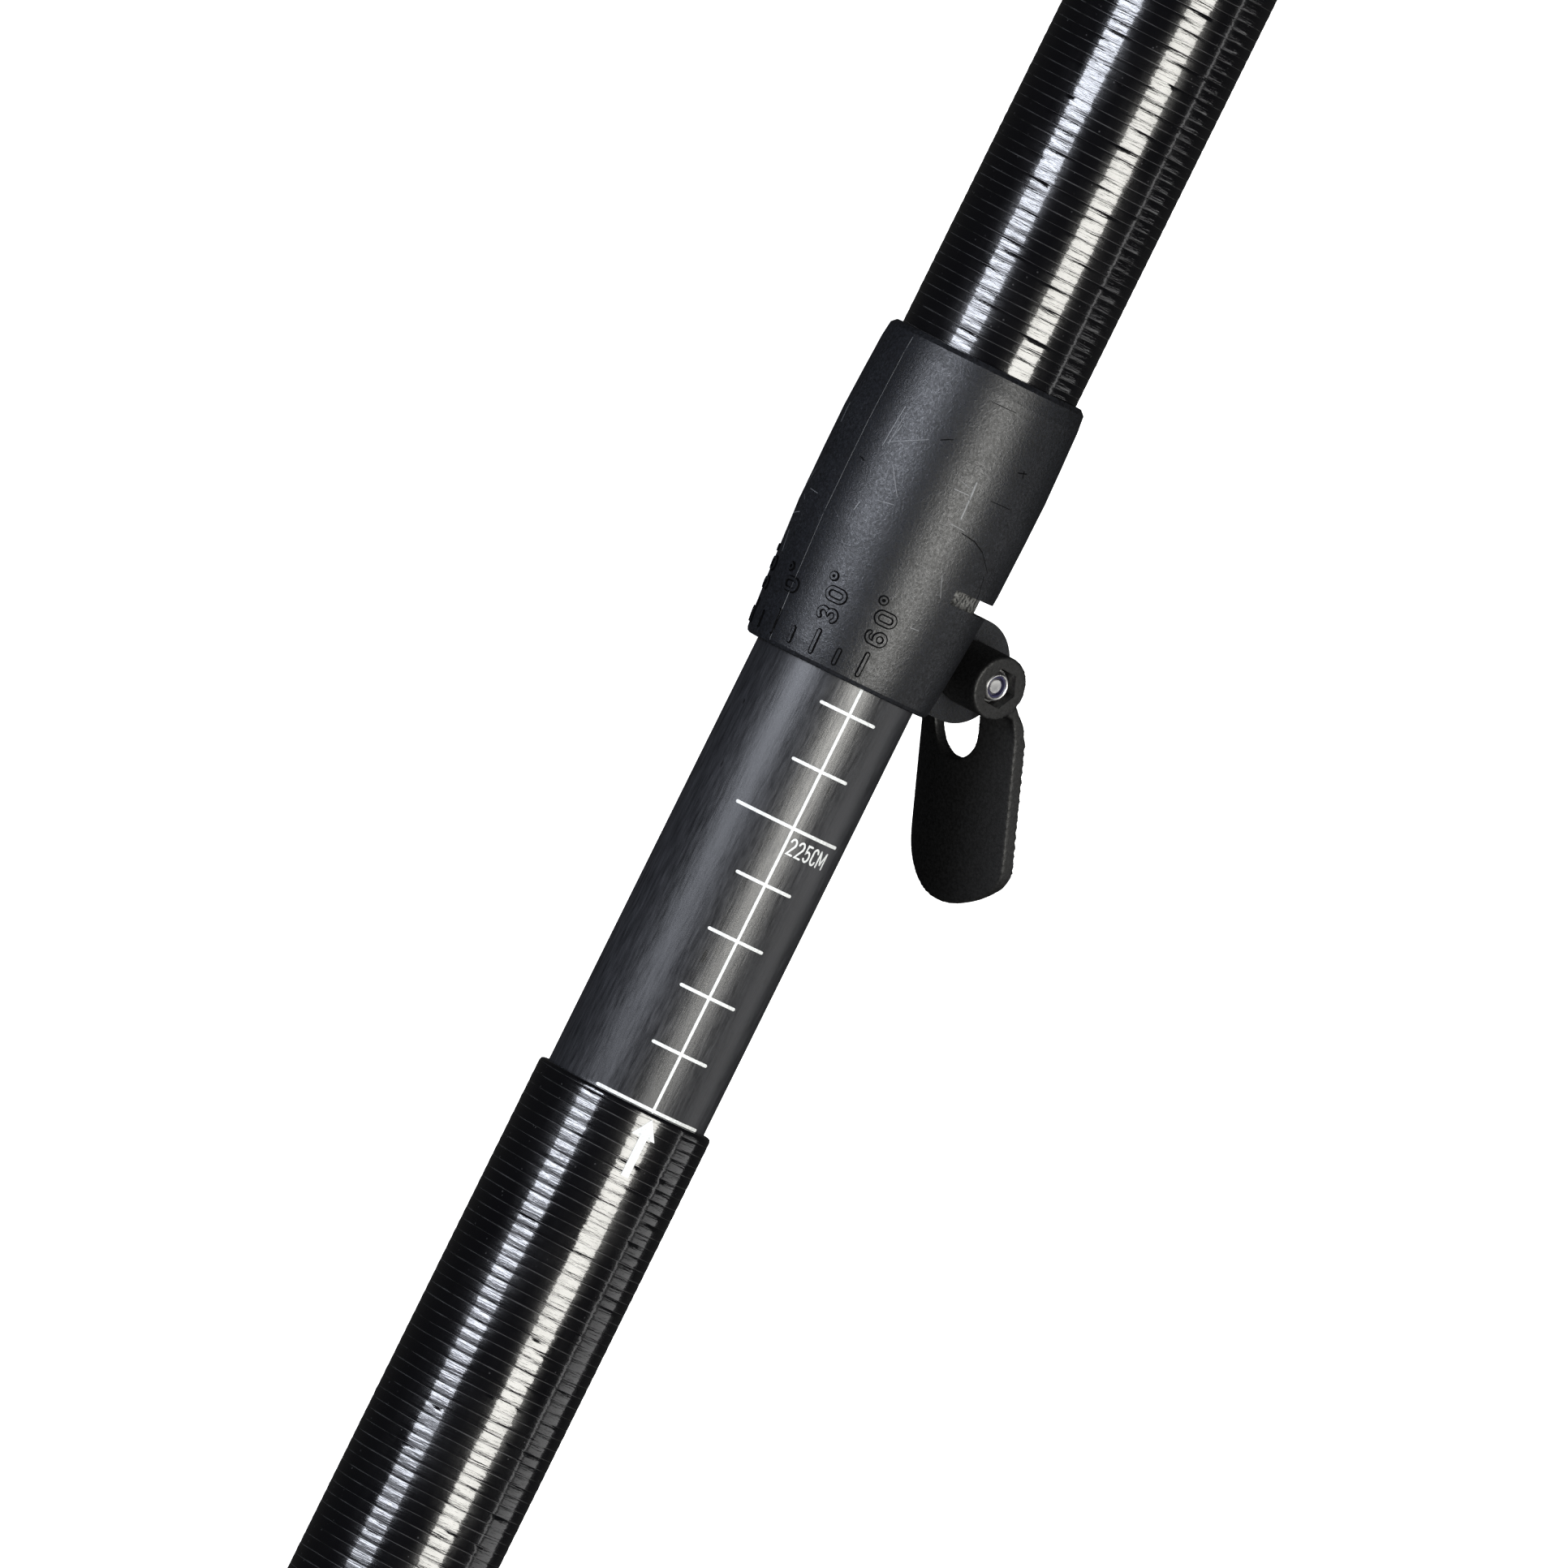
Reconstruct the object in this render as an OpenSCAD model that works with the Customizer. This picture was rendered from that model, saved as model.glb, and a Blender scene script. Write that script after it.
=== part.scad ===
// Two-piece double-bladed paddle with an adjustable centre joint.
// +X runs along the shaft from the lower half to the upper half. The origin is on the shaft's
// axis at the end face of the lower shaft. +Z points out through the printed length scale.
// Angles round the shaft are measured from +Y towards +Z.

/* [Setting of the joint] */
// Gap between the lower shaft's end and the collar
gap = 75; // [1:1:100]
// Feather: turn of the upper half against the lower half, degrees
feather = 69.5; // [0:0.5:75]
// Lever's angle from the lower shaft's direction, degrees (180 is locked)
lever_angle = 27; // [-8:1:180]

/* [Shafts] */
// Length of each half, from its blade's tip to its joint end
half_l = 1100; // [1000:10:1200]
// Outside diameter of the lower shaft
lower_od = 30.3; // [29.5:0.1:31]
// Outside diameter of the upper shaft
upper_od = 30.7; // [30.2:0.1:30.8]
// Outside diameter of the inner tube that slides in the upper shaft
inner_od = 27.45; // [26.5:0.05:27.6]
// Wall of the inner tube
inner_wall = 1.5; // [1:0.1:2.5]
// Length of the inner tube that is bonded inside the lower shaft
inner_bonded = 150; // [80:10:250]
// Length of the inner tube that stands out of the lower shaft
inner_out = 185; // [170:5:240]

/* [Collar] */
// Length of the collar
collar_l = 55; // [50:1:60]
// Height of the lip that covers the upper shaft's end
lip_h = 6; // [3:0.5:8]
// Lower edge of the slot round the collar
slot_z = 18.3; // [18.2:0.1:20]
// Width of the slot round the collar
slot_w = 2.5; // [1.5:0.1:3.5]
// Half of the angle that the slot covers about the ears, degrees
slot_half = 92; // [60:1:110]
// Width of the slit between the ears
slit_w = 2; // [1:0.1:3]

/* [Ears and lever] */
// Height of the pivot above the collar's lower edge
pivot_h = 9.5; // [9.2:0.1:10]
// Distance of the pivot from the shaft's axis
pivot_r = 21.4; // [21.3:0.1:22]
// Radius of the ears
ear_r = 8.8; // [7:0.1:9]
// Distance between the ears' outer faces
ears_w = 7; // [6:0.2:7.2]
// Radius of the lever's bosses
boss_r = 5.25; // [4.8:0.05:5.4]
// Distance between the bosses' outer faces
bosses_w = 25.6; // [25:0.2:28]
// Lever's length from pivot to tip
lever_l = 40; // [36:1:42]
// Lever's width
lever_w = 24.4; // [22:0.2:25]
// Lever's plate thickness
plate_t = 2; // [1.6:0.1:2.4]

/* [Blades] */
// Length of a blade with its round neck
blade_l = 480; // [420:10:520]
// Greatest width of a blade
blade_w = 175; // [150:5:190]
// Thickness of a blade at its edge
edge_t = 3.2; // [2.5:0.1:5]

/* [Fasteners] */
// Diameter of the pivot bolt
bolt_d = 3; // [3:0.5:4]
// Nut's width across its flats
nut_af = 5.5; // [5.3:0.1:5.7]

/* [Hidden] */
$fn = 96;
eps = 0.01;
clear = 0.05;                           // radial clearance of a fit

inner_r = inner_od / 2;
lower_r = lower_od / 2;
upper_r = upper_od / 2;
shaft_bore = inner_r + clear;
tube_l = half_l - blade_l;              // from a half's joint end to its blade
upper_end = gap + lip_h;                // where the upper shaft ends inside the collar
mark_turn = 90 - feather;               // direction of the collar's zero mark
ear_turn = mark_turn + 181;             // direction of the ears

// Collar's outside: [height above its lower edge, radius]
collar_side = [[0, 15.3], [0.2, 15.7], [0.7, 15.95], [3, 16.25], [10, 16.8], [16, 17.2],
    [22.5, 17.65], [26, 17.7], [32, 17.8], [39, 17.85], [45, 17.65], [51.5, 17.4],
    [54.2, 17.1], [55, 16.3]];
collar_r = max([for (p = collar_side) p[1]]);
collar_bore = upper_r + clear;
lip_bore = inner_r + 0.2;

guide_w = 5;                            // width of the guide ring's groove
guide_x = inner_out - 12;
groove_r = inner_r - 0.7;

plate_r = 24.4;                         // inner face of the lever's dished plate
plate_n = 1.25;                         // how far that face stands outside the pivot at mid-width
tip_r = 15;                             // round of the lever's tip
corner_r = 6;                           // rounds between the tip and the lever's sides
corner_z = lever_w / 2 - corner_r;
corner_x = lever_l - tip_r + sqrt(pow(tip_r - corner_r, 2) - pow(corner_z, 2));
corner_turn = asin(corner_z / (tip_r - corner_r));
// Neck between a boss and the plate's edge, seen along the bolt
neck_top = [[3.3, 4.15], [4.1, 4.4], [5, 4.8], [6.8, 5.85], [8.1, 6.3], [9.7, 6.5]];
neck_under = [[9.7, 4.4], [6.2, 3.75], [4.9, 1.9], [3, 1.9]];
neck_z = 7;                             // how near the middle the necks reach
plate_start = 2.5;

function arc(x, y, r, from, to, steps) = [for (i = [0 : steps])
    let(a = from + (to - from) * i / steps) [x + r * cos(a), y + r * sin(a)]];

// One side of the lever's outline, from the pivot end to the middle of the tip
lever_side = concat([[plate_start, lever_w / 2]],
    arc(corner_x, corner_z, corner_r, 90, corner_turn, 6),
    arc(lever_l - tip_r, 0, tip_r, corner_turn * 6 / 7, 0, 6));
notch_r = 5.6;                          // round of the gap between the lever's arms
notch_l = 15.8;                         // depth of that gap, from the pivot
web_end = 12;                           // the webs end short of this distance from the pivot
closed_gap = 0.35;                      // between the collar and the closed lever
boss_in = ears_w / 2 + 0.1;
boss_out = bosses_w / 2;

bolt_r = bolt_d / 2;
bolt_hole_r = bolt_r + 0.08;
head_r = 2.75;
head_h = 2.1;
washer_r = 3;
washer_t = 0.5;
head_floor = boss_out - 3;              // floor of the pocket for the bolt's head
head_base = -head_floor - washer_t - head_h;
head_pocket_r = 3.2;
nut_floor = boss_out - 4.85;            // floor of the hexagon pocket
nut_pocket_af = 5.9;
nut_hex_h = 2.6;
nut_h = 4;
nut_ring_r = 2.2;
nylon_h = 1.1;
bolt_end = nut_floor + nut_h - 0.4;
bolt_tip = 0.4;                         // chamfer on the bolt's end

neck_r = 14.9;
neck_l = 62;
spigot_l = 50;
plug_l = 25;
ring_r = 27;                            // drip ring's rim
ring_l = 14;
ring_at = 22;                           // middle of the drip ring, from the blade's root
scoop = 20;                             // how far the tip curves to the power face
spine_t = 9;                            // thickness at the spine, beyond the neck
spine_w = 13;                           // half-width of the spine
rib_fade = 0.32;                        // share of the length over which the neck fades out
section_n = 28;                         // points round a blade's section
span_n = 16;                            // stations from the neck to the widest place
tip_n = 12;                             // stations from there to the tip

// Things drawn along +Z are laid along the shaft, with x towards +Y and y towards +Z.
module along_shaft() rotate([90, 0, 90]) children();

// The ears' frame: x outwards through the ears, z along the shaft, the origin on the pivot.
module at_pivot()
    along_shaft() rotate([0, 0, ear_turn]) translate([pivot_r, 0, gap + pivot_h]) children();

// The lever's frame: x along the lever, y away from the shaft, z along the bolt.
module on_lever() at_pivot() rotate([0, 90 - lever_angle, 0]) rotate([90, 0, 0]) children();

module tube(r_out, r_in, z0, z1)
    translate([0, 0, z0]) difference() {
        cylinder(r = r_out, h = z1 - z0);
        translate([0, 0, -1]) cylinder(r = r_in, h = z1 - z0 + 2);
    }

module hexagon(af, h) cylinder(r = af / sqrt(3), h = h, $fn = 6);

// ---- blades ----

x_neck = neck_l / blade_l;
body_r = neck_r - 0.3;                  // the blade grows out of its neck's end face
function ease(y) = (1 - cos(180 * min(max(y, 0), 1))) / 2;

// Half-width of a blade's side at x, from 0 at its root to 1 at its tip
function side_w(x, widest, power) =
    x <= widest ? body_r + (blade_w / 2 - body_r) * ease((x - x_neck) / (widest - x_neck))
    : max(1.5, blade_w / 2 * sqrt(max(0, 1 - pow((x - widest) / (1 - widest), power))));

// Share of the way from a round neck to a flat blade
function flatness(x) = ease((x - x_neck) / rib_fade);

// Half-thickness at width w where the side's half-width is side
function half_t(x, w, side) = let(
        f = flatness(x),
        middle = body_r * (1 - f) + spine_t / 2 * (1 - 0.45 * x) * f,
        spread = spine_w + 400 * pow(1 - f, 6),
        edge = edge_t / 2,
        round_off = pow(max(0, 1 - pow(w / side, 2)), 0.5 - 0.3 * f))
    round_off * (edge + (middle - edge) * exp(-pow(w / spread, 2)));

function lift(x, w) = scoop * pow(max(0, x - x_neck), 2)
    + 6 * flatness(x) * pow(w / (blade_w / 2), 2);

// The first station lies inside the neck
function station(i) = i == 0 ? x_neck - 0.015
    : i <= span_n ? x_neck + (0.6 - x_neck) * i / span_n
    : 0.6 + 0.4 * sin(90 * (i - span_n) / tip_n);

function section(x) = [for (k = [0 : section_n - 1]) let(
        c = cos(360 * (k + 0.5) / section_n),
        share = 0.35 * c + 0.65 * pow(c, 3),
        side = c > 0 ? side_w(x, 0.66, 2.3) : side_w(x, 0.56, 1.9),
        w = share * side,
        up = k < section_n / 2 ? 1 : -1)
    [w, lift(x, w) + up * half_t(x, w, side), x * blade_l]];

module blade_body() {
    rows = span_n + tip_n;
    points = [for (i = [0 : rows]) each section(station(i))];
    polyhedron(points, concat(
        [[for (k = [0 : section_n - 1]) k]],
        [for (i = [0 : rows - 1]) for (k = [0 : section_n - 1])
            let(a = i * section_n + k, b = i * section_n + (k + 1) % section_n)
            each [[a, a + section_n, b], [b, a + section_n, b + section_n]]],
        [[for (k = [section_n - 1 : -1 : 0]) rows * section_n + k]]));
}

// A blade with its root at the origin, running along +Z, with its power face towards +Y.
module blade(hand) {
    mirror([hand > 0 ? 0 : 1, 0, 0]) blade_body();
    cylinder(r = neck_r, h = neck_l + 1);
    translate([0, 0, -spigot_l]) cylinder(r = shaft_bore - clear, h = spigot_l + 1);
}

// The lower blade runs the other way along the shaft.
module at_lower_root() along_shaft() translate([0, 0, -tube_l]) rotate([0, 180, 0]) children();
module at_upper_root()
    along_shaft() rotate([0, 0, -feather]) translate([0, 0, gap + tube_l]) children();

module drip_ring()
    translate([0, 0, ring_at]) rotate_extrude()
        polygon([[neck_r + clear, -ring_l / 2], [neck_r + 2.2, -ring_l / 2], [neck_r + 2.6, -2],
            [ring_r - 1, 1.5], [ring_r, 3], [ring_r - 0.6, 4], [neck_r + 5, 2.2],
            [neck_r + 2.4, 3], [neck_r + 2.2, ring_l / 2], [neck_r + clear, ring_l / 2]]);

module shaft_plug() translate([0, 0, -spigot_l - 5 - plug_l])
    cylinder(r = shaft_bore - clear, h = plug_l);

// ---- lower half ----

module lower_shaft()
    color("#101012") along_shaft() tube(lower_r, shaft_bore, -tube_l, 0);

module male_ferrule()
    color("#2b2c30") along_shaft() difference() {
        tube(inner_r, inner_r - inner_wall, -inner_bonded, inner_out);
        tube(inner_r + 1, groove_r, guide_x, guide_x + guide_w);
    }

module ferrule_plug()
    color("#3a3a3a") along_shaft() translate([0, 0, inner_out - plug_l - 2])
        cylinder(r = inner_r - inner_wall - clear, h = plug_l);

module lower_blade() color("#17181a") at_lower_root() blade(1);

module lower_drip_ring() color("#141414") at_lower_root() drip_ring();

module lower_shaft_plug() color("#3a3a3a") at_lower_root() shaft_plug();

// ---- ring that turns on the inner tube and slides in the upper shaft ----

module guide_ring()
    color("#d8d8d0") along_shaft()
        tube(shaft_bore - 0.02, groove_r + clear, guide_x + 0.1, guide_x + guide_w - 0.1);

// ---- upper half ----

module upper_shaft()
    color("#101012") along_shaft() rotate([0, 0, ear_turn]) difference() {
        tube(upper_r, shaft_bore, upper_end, gap + tube_l);
        // Slit that lets the end close on the inner tube
        translate([0, -slit_w / 2, upper_end - 1]) cube([upper_r + 1, slit_w, slot_z + slot_w]);
    }

module ears_outline() {
    circle(r = ear_r);
    translate([-pivot_r + lip_bore - 1, -ear_r]) square([pivot_r - lip_bore + 1, 2 * ear_r]);
}

module clamp_collar()
    color("#202124") along_shaft() rotate([0, 0, ear_turn]) translate([0, 0, gap])
    difference() {
        union() {
            rotate_extrude()
                polygon(concat([[lip_bore - 1, 0]], [for (p = collar_side) [p[1], p[0]]],
                    [[lip_bore - 1, collar_l]]));
            translate([pivot_r, ears_w / 2, pivot_h]) rotate([90, 0, 0])
                linear_extrude(ears_w) ears_outline();
        }
        translate([0, 0, -1]) cylinder(r = lip_bore, h = collar_l + 2);
        translate([0, 0, lip_h]) cylinder(r = collar_bore, h = collar_l);
        // Slot round the collar and slit between the ears
        translate([0, 0, slot_z]) rotate([0, 0, -slot_half])
            rotate_extrude(angle = 2 * slot_half)
                translate([collar_bore - 0.2, 0]) square([6, slot_w]);
        translate([0, -slit_w / 2, -1]) cube([40, slit_w, slot_z + 1 + eps]);
        // Pivot hole, and room for the lever's bosses beside the ears
        translate([pivot_r, 20, pivot_h]) rotate([90, 0, 0]) cylinder(r = bolt_hole_r, h = 40);
        for (side = [-1, 1])
            translate([pivot_r, side * (ears_w / 2 + 10), pivot_h]) rotate([90, 0, 0])
                translate([0, 0, -10]) cylinder(r = boss_r + 0.4, h = 20);
    }

module upper_blade() color("#17181a") at_upper_root() blade(-1);

module upper_drip_ring() color("#141414") at_upper_root() drip_ring();

module upper_shaft_plug() color("#3a3a3a") at_upper_root() shaft_plug();

// ---- lever with its bolt and nut ----

module lever_outline()
    difference() {
        polygon(concat(lever_side, [for (i = [len(lever_side) - 2 : -1 : 0])
            [lever_side[i][0], -lever_side[i][1]]]));
        translate([notch_l - notch_r, 0]) circle(r = notch_r);
        translate([-1, -notch_r]) square([notch_l - notch_r + 1, 2 * notch_r]);
    }

// Dished plate, a slice of a tube cut to the lever's outline, with necks to the bosses
module lever_plate() {
    difference() {
        intersection() {
            rotate([-90, 0, 0]) mirror([0, 1, 0]) linear_extrude(12) lever_outline();
            translate([-1, plate_n + plate_r, 0]) rotate([0, 90, 0])
                tube(plate_r, plate_r - plate_t, 0, lever_l + 2);
        }
        // The plate's edge drops to the bosses along the top of the necks
        translate([0, 0, -lever_w]) linear_extrude(2 * lever_w)
            polygon(concat([[0, 4.15]], neck_top, [[9.7, 12], [0, 12]]));
    }
    for (side = [-1, 1])
        translate([0, 0, side > 0 ? neck_z : -lever_w / 2])
            linear_extrude(lever_w / 2 - neck_z) polygon(concat(neck_top, neck_under));
}

module clamp_lever()
    color("#1b1c1e") on_lever() difference() {
        union() {
            difference() {
                lever_plate();
                // The closed lever lies along the collar, so its webs leave room for it
                translate([-2, pivot_r, 0]) rotate([0, 90, 0])
                    cylinder(r = collar_r + closed_gap, h = web_end + 2);
            }
            for (side = [-1, 1])
                translate([0, 0, side > 0 ? boss_in : -boss_out])
                    cylinder(r = boss_r, h = boss_out - boss_in);
        }
        translate([0, 0, -boss_out - 1]) cylinder(r = bolt_hole_r, h = bosses_w + 2);
        translate([0, 0, -boss_out - 1]) cylinder(r = head_pocket_r, h = boss_out - head_floor + 1);
        translate([0, 0, nut_floor]) hexagon(nut_pocket_af, boss_out - nut_floor + 1);
    }

module clamp_bolt()
    color("#b8b8bc") on_lever() difference() {
        rotate_extrude()
            polygon([[0, head_base], [head_r - 0.3, head_base], [head_r, head_base + 0.3],
                [head_r, head_base + head_h], [bolt_r, head_base + head_h],
                [bolt_r, bolt_end - bolt_tip], [bolt_r - bolt_tip, bolt_end], [0, bolt_end]]);
        translate([0, 0, head_base - eps]) hexagon(2, 1.3);
    }

module bolt_washer()
    color("#c8c8cc") on_lever()
        tube(washer_r, bolt_hole_r, -head_floor - washer_t, -head_floor);

module lock_nut()
    color("#b8b8bc") on_lever() translate([0, 0, nut_floor]) difference() {
        union() {
            hexagon(nut_af, nut_hex_h);
            cylinder(r = nut_ring_r + 0.3, h = nut_hex_h + 0.7);
            cylinder(r = nut_ring_r, h = nut_h);
        }
        translate([0, 0, -1]) cylinder(r = bolt_r + 0.02, h = nut_h + 2);
        translate([0, 0, nut_h - nylon_h - 0.2]) cylinder(r = nut_ring_r - 0.35, h = nut_h);
    }

module nut_nylon_ring()
    color("#5a58a8") on_lever()
        tube(nut_ring_r - 0.37, bolt_r + 0.02, nut_floor + nut_h - nylon_h - 0.2,
            nut_floor + nut_h - 0.2);

lower_shaft();
male_ferrule();
ferrule_plug();
lower_blade();
lower_drip_ring();
lower_shaft_plug();
guide_ring();
upper_shaft();
clamp_collar();
upper_blade();
upper_drip_ring();
upper_shaft_plug();
clamp_lever();
clamp_bolt();
bolt_washer();
lock_nut();
nut_nylon_ring();
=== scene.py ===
"""Looks of the two-piece paddle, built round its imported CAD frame. Sizes are in millimetres
until a mesh is made. Angles round the shaft are in degrees, from +Y towards +Z."""
import math
import random

import bmesh
import bpy
from mathutils import Matrix, Vector, noise

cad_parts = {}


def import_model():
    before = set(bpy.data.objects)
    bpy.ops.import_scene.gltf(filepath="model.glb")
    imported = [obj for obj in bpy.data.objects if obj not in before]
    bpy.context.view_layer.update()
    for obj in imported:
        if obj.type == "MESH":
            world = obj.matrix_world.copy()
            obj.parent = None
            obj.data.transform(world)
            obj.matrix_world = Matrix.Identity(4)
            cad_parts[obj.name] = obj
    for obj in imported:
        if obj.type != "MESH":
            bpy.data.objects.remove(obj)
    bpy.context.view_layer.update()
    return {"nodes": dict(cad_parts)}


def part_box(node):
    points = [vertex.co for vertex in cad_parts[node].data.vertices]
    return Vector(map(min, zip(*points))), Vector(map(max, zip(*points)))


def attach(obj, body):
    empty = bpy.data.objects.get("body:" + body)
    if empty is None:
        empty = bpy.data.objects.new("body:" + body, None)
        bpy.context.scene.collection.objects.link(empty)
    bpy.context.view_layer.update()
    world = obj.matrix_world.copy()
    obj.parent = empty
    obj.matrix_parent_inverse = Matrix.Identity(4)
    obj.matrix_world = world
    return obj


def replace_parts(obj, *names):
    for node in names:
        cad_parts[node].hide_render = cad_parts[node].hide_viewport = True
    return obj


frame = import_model()
nodes = frame["nodes"]
scene = bpy.context.scene

MM = 0.001
VIEW_TURN = 69.5        # direction round the shaft that faces the camera
LINE_TURN = 90.0        # direction of the printed length scale
FEATHER = 69.5
MARK_TURN = LINE_TURN - FEATHER     # direction of the collar's zero mark
EAR_TURN = MARK_TURN + 181          # direction of the collar's slit and ears

LOW_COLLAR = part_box("clamp_collar")[0].x / MM
LOWER_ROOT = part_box("lower_shaft")[0].x / MM
UPPER_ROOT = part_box("upper_shaft")[1].x / MM
LOWER_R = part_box("lower_shaft")[1].z / MM
UPPER_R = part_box("upper_shaft")[1].z / MM
INNER_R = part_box("male_ferrule")[1].z / MM
INNER_ENDS = [corner.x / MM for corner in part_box("male_ferrule")]
BORE = INNER_R + 0.05               # inside of both wound shafts


# ---------------------------------------------------------------- meshes

def spot(x, r, turn):
    """A point at x along the shaft, r from its axis, in metres."""
    a = math.radians(turn)
    return Vector((x, r * math.cos(a), r * math.sin(a))) * MM


def solid(name, points, faces, material, body, slot, smooth=35, second=None, marked=()):
    """A mesh object from points in metres, riding on a body. The marked faces, given by
    their numbers, take the second material."""
    mesh = bpy.data.meshes.new(name)
    mesh.from_pydata([tuple(p) for p in points], [], faces)
    mesh.materials.append(material)
    if second:
        mesh.materials.append(second)
        for i in marked:
            mesh.polygons[i].material_index = 1
    bm = bmesh.new()
    bm.from_mesh(mesh)
    bmesh.ops.remove_doubles(bm, verts=bm.verts, dist=1e-7)
    bmesh.ops.dissolve_degenerate(bm, dist=1e-8, edges=bm.edges)
    bmesh.ops.recalc_face_normals(bm, faces=bm.faces)
    bm.to_mesh(mesh)
    bm.free()
    return dress(bpy.data.objects.new(name, mesh), body, slot, smooth)


def dress(piece, body, slot, smooth=35):
    """Shades a piece smooth up to an angle, and puts it on its body. slot is not used."""
    piece.data.shade_smooth()
    piece.data.set_sharp_from_angle(angle=math.radians(smooth))
    scene.collection.objects.link(piece)
    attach(piece, body)
    return piece


def rows_to_faces(rows, closed=True):
    """Quads between rows of equal length that run round the shaft, one after another."""
    points = [p for row in rows for p in row]
    n = len(rows[0])
    faces = []
    for i in range(len(rows) if closed else len(rows) - 1):
        below, above = i * n, (i + 1) % len(rows) * n
        faces += [(below + j, below + (j + 1) % n, above + (j + 1) % n, above + j)
                  for j in range(n)]
    return points, faces


def lathe(profile, segments):
    """A closed profile of (x, r) turned round the shaft."""
    return rows_to_faces([[spot(x, r, 360 * j / segments) for j in range(segments)]
                          for x, r in profile])


def strip_faces(start, last, count):
    """Quads across a strip whose points go up one side and come back down the other."""
    return [(start + i, start + i + 1, start + last - 1 - i, start + last - i)
            for i in range(count)]


def join_shapes(shapes):
    """One shape of several, each given as its points and its faces."""
    points, faces = [], []
    for more_points, more_faces in shapes:
        start = len(points)
        points += more_points
        faces += [tuple(start + i for i in f) for f in more_faces]
    return points, faces


# ---------------------------------------------------------------- materials

# Colour sockets of a Mix node: both inputs and the result
MIX_A, MIX_B, MIX_RESULT = 6, 7, 2


def new_material(name, color, roughness, metallic=0.0):
    """A material with its node tree and its shader."""
    material = bpy.data.materials.new(name)
    material.use_nodes = True
    shader = material.node_tree.nodes["Principled BSDF"]
    shader.inputs["Base Color"].default_value = (*color, 1)
    shader.inputs["Roughness"].default_value = roughness
    shader.inputs["Metallic"].default_value = metallic
    return material, material.node_tree, shader


def add(tree, kind, **settings):
    """A node with its sockets or properties set."""
    node = tree.nodes.new(kind)
    for key, value in settings.items():
        if key in node.inputs:
            node.inputs[key].default_value = value
        else:
            setattr(node, key, value)
    return node


def place(tree, scale=(1, 1, 1)):
    """Object coordinates, stretched."""
    coords = tree.nodes.new("ShaderNodeTexCoord")
    mapping = tree.nodes.new("ShaderNodeMapping")
    mapping.inputs["Scale"].default_value = scale
    tree.links.new(coords.outputs["Object"], mapping.inputs["Vector"])
    return mapping.outputs["Vector"]


def noise_of(tree, scale, detail, stretch=(1, 1, 1), rough=0.5):
    """Noise in the object's space. A low number in stretch draws it out along that axis."""
    node = add(tree, "ShaderNodeTexNoise", Scale=scale, Detail=detail, Roughness=rough)
    tree.links.new(place(tree, stretch), node.inputs["Vector"])
    return node.outputs["Fac"]


def ramp(tree, source, stops):
    """A colour ramp of (position, value or colour)."""
    node = tree.nodes.new("ShaderNodeValToRGB")
    elements = node.color_ramp.elements
    while len(elements) < len(stops):
        elements.new(0.5)
    for element, (position, value) in zip(elements, stops):
        element.position = position
        color = value if isinstance(value, tuple) else (value,) * 3
        element.color = (*color, 1)
    tree.links.new(source, node.inputs["Fac"])
    return node.outputs["Color"]


def bump(tree, shader, height, distance, strength, below=None):
    """Bumps the shader's normal, on top of the bump below it. distance is in metres."""
    node = add(tree, "ShaderNodeBump", Strength=strength, Distance=distance)
    tree.links.new(height, node.inputs["Height"])
    if below is not None:
        tree.links.new(below, node.inputs["Normal"])
    tree.links.new(node.outputs["Normal"], shader.inputs["Normal"])
    return node.outputs["Normal"]


def mix_color(tree, factor, first, second):
    """A mix of two colours, each a constant or an output."""
    node = add(tree, "ShaderNodeMix", data_type="RGBA")
    tree.links.new(factor, node.inputs["Factor"])
    for socket, value in ((MIX_A, first), (MIX_B, second)):
        if isinstance(value, tuple):
            node.inputs[socket].default_value = (*value, 1)
        else:
            tree.links.new(value, node.inputs[socket])
    return node.outputs[MIX_RESULT]


def multiply(tree, first, second):
    """The product of two outputs."""
    node = add(tree, "ShaderNodeMath", operation="MULTIPLY")
    tree.links.new(first, node.inputs[0])
    tree.links.new(second, node.inputs[1])
    return node.outputs[0]


def wound_material():
    """Black lacquer over a wound tube: glossy, with faint haze, dust specks and fine streaks
    round the tube."""
    black = (0.0022, 0.0022, 0.003)
    material, tree, shader = new_material("wound_gloss", black, 0.2)
    shader.inputs["Coat Weight"].default_value = 0.9
    shader.inputs["Coat Roughness"].default_value = 0.05
    shader.inputs["Coat IOR"].default_value = 1.55
    haze = noise_of(tree, 260, 4, (0.3, 1, 1))
    tree.links.new(ramp(tree, haze, [(0.3, 0.13), (0.7, 0.26)]), shader.inputs["Roughness"])
    dust = add(tree, "ShaderNodeTexVoronoi", Scale=900.0)
    tree.links.new(place(tree), dust.inputs["Vector"])
    spots = ramp(tree, dust.outputs["Distance"], [(0.0, 1.0), (0.1, 0.8), (0.16, 0.0)])
    thinned = ramp(tree, noise_of(tree, 420, 2), [(0.56, 0.0), (0.62, 1.0)])
    seen = multiply(tree, spots, thinned)
    tree.links.new(mix_color(tree, seen, black, (0.05, 0.05, 0.052)),
                   shader.inputs["Base Color"])
    fine = bump(tree, shader, noise_of(tree, 1100, 3, (0.6, 1, 1)), 0.000012, 0.6)
    streaks = bump(tree, shader, noise_of(tree, 2600, 3, (1, 0.09, 0.09)), 0.00007, 0.9, fine)
    tree.links.new(streaks, shader.inputs["Coat Normal"])
    return material


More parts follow.
